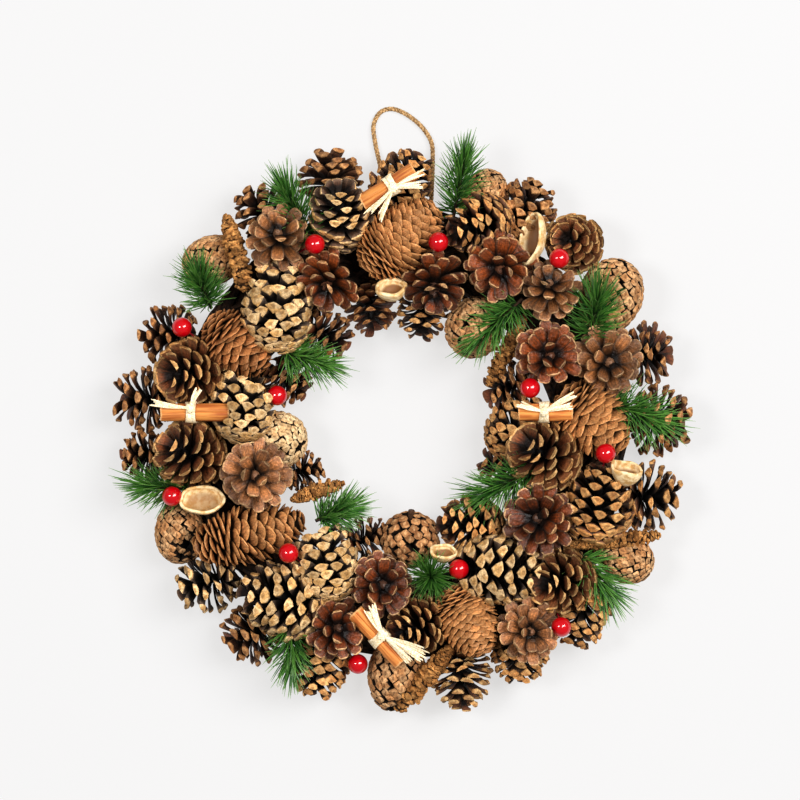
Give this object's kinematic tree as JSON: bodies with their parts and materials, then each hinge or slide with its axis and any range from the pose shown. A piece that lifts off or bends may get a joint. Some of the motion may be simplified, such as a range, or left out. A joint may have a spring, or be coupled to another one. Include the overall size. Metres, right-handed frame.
{
  "type": "pinecone wreath",
  "caption": "Round decorative wreath of dry cones on a flat ring, with berries, evergreen sprigs, cinnamon sticks, seed pods and a hanging loop; lies on its back.",
  "frame": {"origin": "centre of the wreath's outline without the hanging loop, on the surface that it lies on", "axes": "+Z out of the wreath's face, +Y towards the hanging loop, +X to the right as its face is seen"},
  "size_m": [0.3656, 0.382, 0.0751],
  "materials": {
    "grapevine_twigs": "rough bark, matt",
    "jute_cord": "twisted natural fibre",
    "dry_pine_cone": "dry woody scales, tan tips",
    "dry_spruce_cone": "dry papery shingled scales",
    "evergreen_needles": "satin green needles",
    "dry_catkin": "knobbly, matt",
    "lacquered_berry": "high gloss red lacquer",
    "cinnamon_bark": "fine lengthwise grain, matt",
    "raffia": "flat cream fibre, satin",
    "seed_pod_shell": "dry shell, matt"
  },
  "bodies": {
    "root": {"wreath_ring": "grapevine_twigs", "hanging_loop": "jute_cord", "pine_cones_1": "dry_pine_cone", "pine_cones_2": "dry_pine_cone", "pine_cones_3": "dry_pine_cone", "pine_cones_4": "dry_pine_cone", "pine_cones_5": "dry_pine_cone", "pine_cones_6": "dry_pine_cone", "pine_cones_7": "dry_pine_cone", "pine_cones_8": "dry_pine_cone", "pine_cones_9": "dry_pine_cone", "pine_cones_10": "dry_pine_cone", "spruce_cone_1": "dry_spruce_cone", "spruce_cone_2": "dry_spruce_cone", "spruce_cone_3": "dry_spruce_cone", "spruce_cone_4": "dry_spruce_cone", "spruce_cone_5": "dry_spruce_cone", "pine_sprig_1": "evergreen_needles", "pine_sprig_2": "evergreen_needles", "pine_sprig_3": "evergreen_needles", "pine_sprig_4": "evergreen_needles", "pine_sprig_5": "evergreen_needles", "pine_sprig_6": "evergreen_needles", "pine_sprig_7": "evergreen_needles", "pine_sprig_8": "evergreen_needles", "pine_sprig_9": "evergreen_needles", "pine_sprig_10": "evergreen_needles", "pine_sprig_11": "evergreen_needles", "pine_sprig_12": "evergreen_needles", "pine_sprig_13": "evergreen_needles", "catkin_1": "dry_catkin", "catkin_2": "dry_catkin", "catkin_3": "dry_catkin", "catkin_4": "dry_catkin", "catkin_5": "dry_catkin", "berry_1": "lacquered_berry", "berry_2": "lacquered_berry", "berry_3": "lacquered_berry", "berry_4": "lacquered_berry", "berry_5": "lacquered_berry", "berry_6": "lacquered_berry", "berry_7": "lacquered_berry", "berry_8": "lacquered_berry", "berry_9": "lacquered_berry", "berry_10": "lacquered_berry", "berry_11": "lacquered_berry", "berry_12": "lacquered_berry", "cinnamon_stick_1": "cinnamon_bark", "cinnamon_stick_2": "cinnamon_bark", "cinnamon_stick_3": "cinnamon_bark", "cinnamon_stick_4": "cinnamon_bark", "raffia_tie_1": "raffia", "raffia_tie_2": "raffia", "raffia_tie_3": "raffia", "raffia_tie_4": "raffia", "seed_pod_1": "seed_pod_shell", "seed_pod_2": "seed_pod_shell", "seed_pod_3": "seed_pod_shell", "seed_pod_4": "seed_pod_shell", "seed_pod_5": "seed_pod_shell"}
  },
  "joints": []
}
